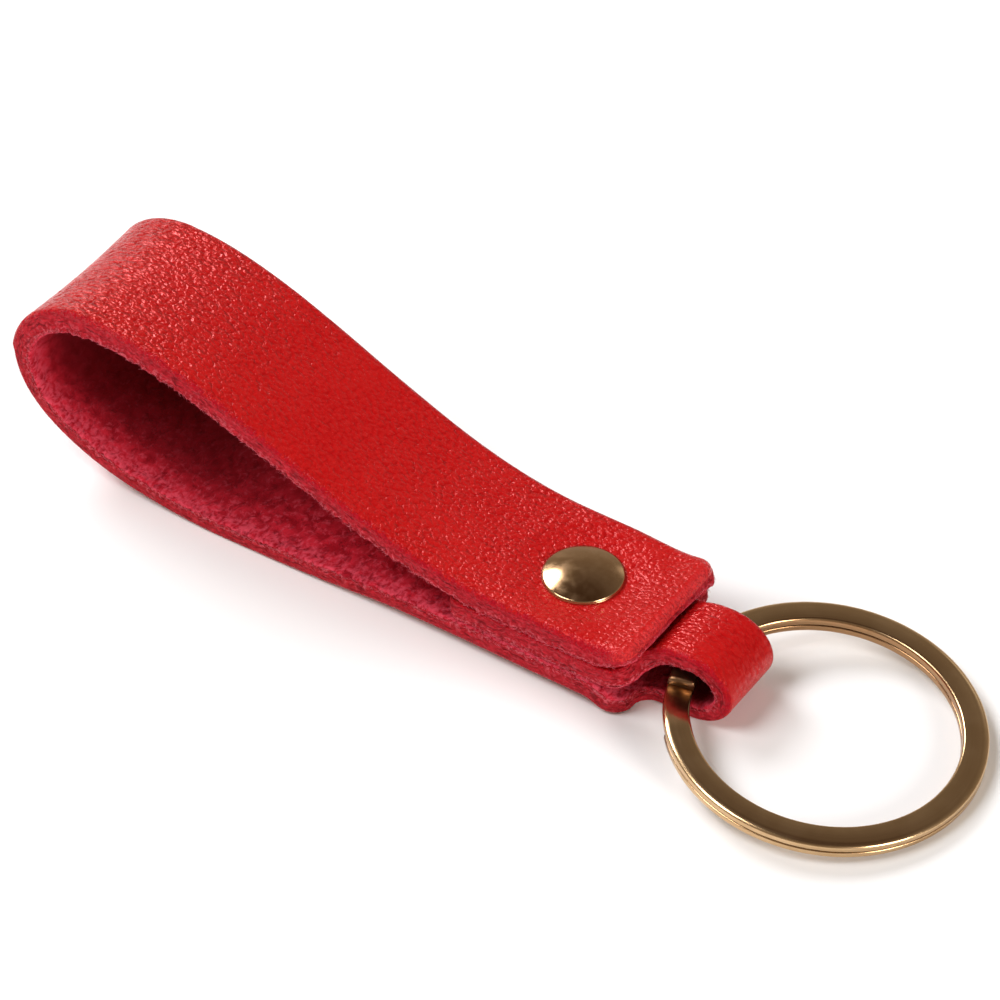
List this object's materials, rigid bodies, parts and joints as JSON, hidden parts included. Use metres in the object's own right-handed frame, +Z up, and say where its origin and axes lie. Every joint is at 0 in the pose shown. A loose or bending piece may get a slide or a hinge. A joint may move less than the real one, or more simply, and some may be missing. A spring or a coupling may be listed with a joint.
{
  "type": "leather keychain",
  "caption": "Leather strap folded into a finger loop and closed by a domed cap rivet, with a flat-wire split ring swinging in its narrow neck to carry keys.",
  "frame": {"origin": "under the middle of the whole keychain, on the surface that it lies on", "axes": "+X from the finger loop to the split ring, along the strap; +Y across the strap; +Z up, out of the rivet's domed cap"},
  "size_m": [0.1014, 0.03, 0.0209],
  "materials": {
    "red_leather": "pebble-grained red top side with a soft sheen, suede-like flesh side, raw cut edges",
    "light_brass": "polished light gold plating, worn smooth along the wire's edges",
    "dark_brass": "polished antique gold with a brown cast",
    "plain_steel": "plain drawn steel, hidden inside the caps and the leather"
  },
  "bodies": {
    "strap": {"leather_strap": "red_leather", "rivet_cap": "dark_brass", "rivet_cap_socket": "plain_steel", "rivet_post": "plain_steel", "rivet_back_cap": "dark_brass"},
    "ring": {"split_ring": "light_brass"}
  },
  "joints": [
    {"name": "ring_swing", "type": "hinge", "parent": "strap", "child": "ring", "pos_m": [0.02238, 0, 0.00388], "axis": [0, -1, 0], "range_deg": [-160, 168]}
  ]
}
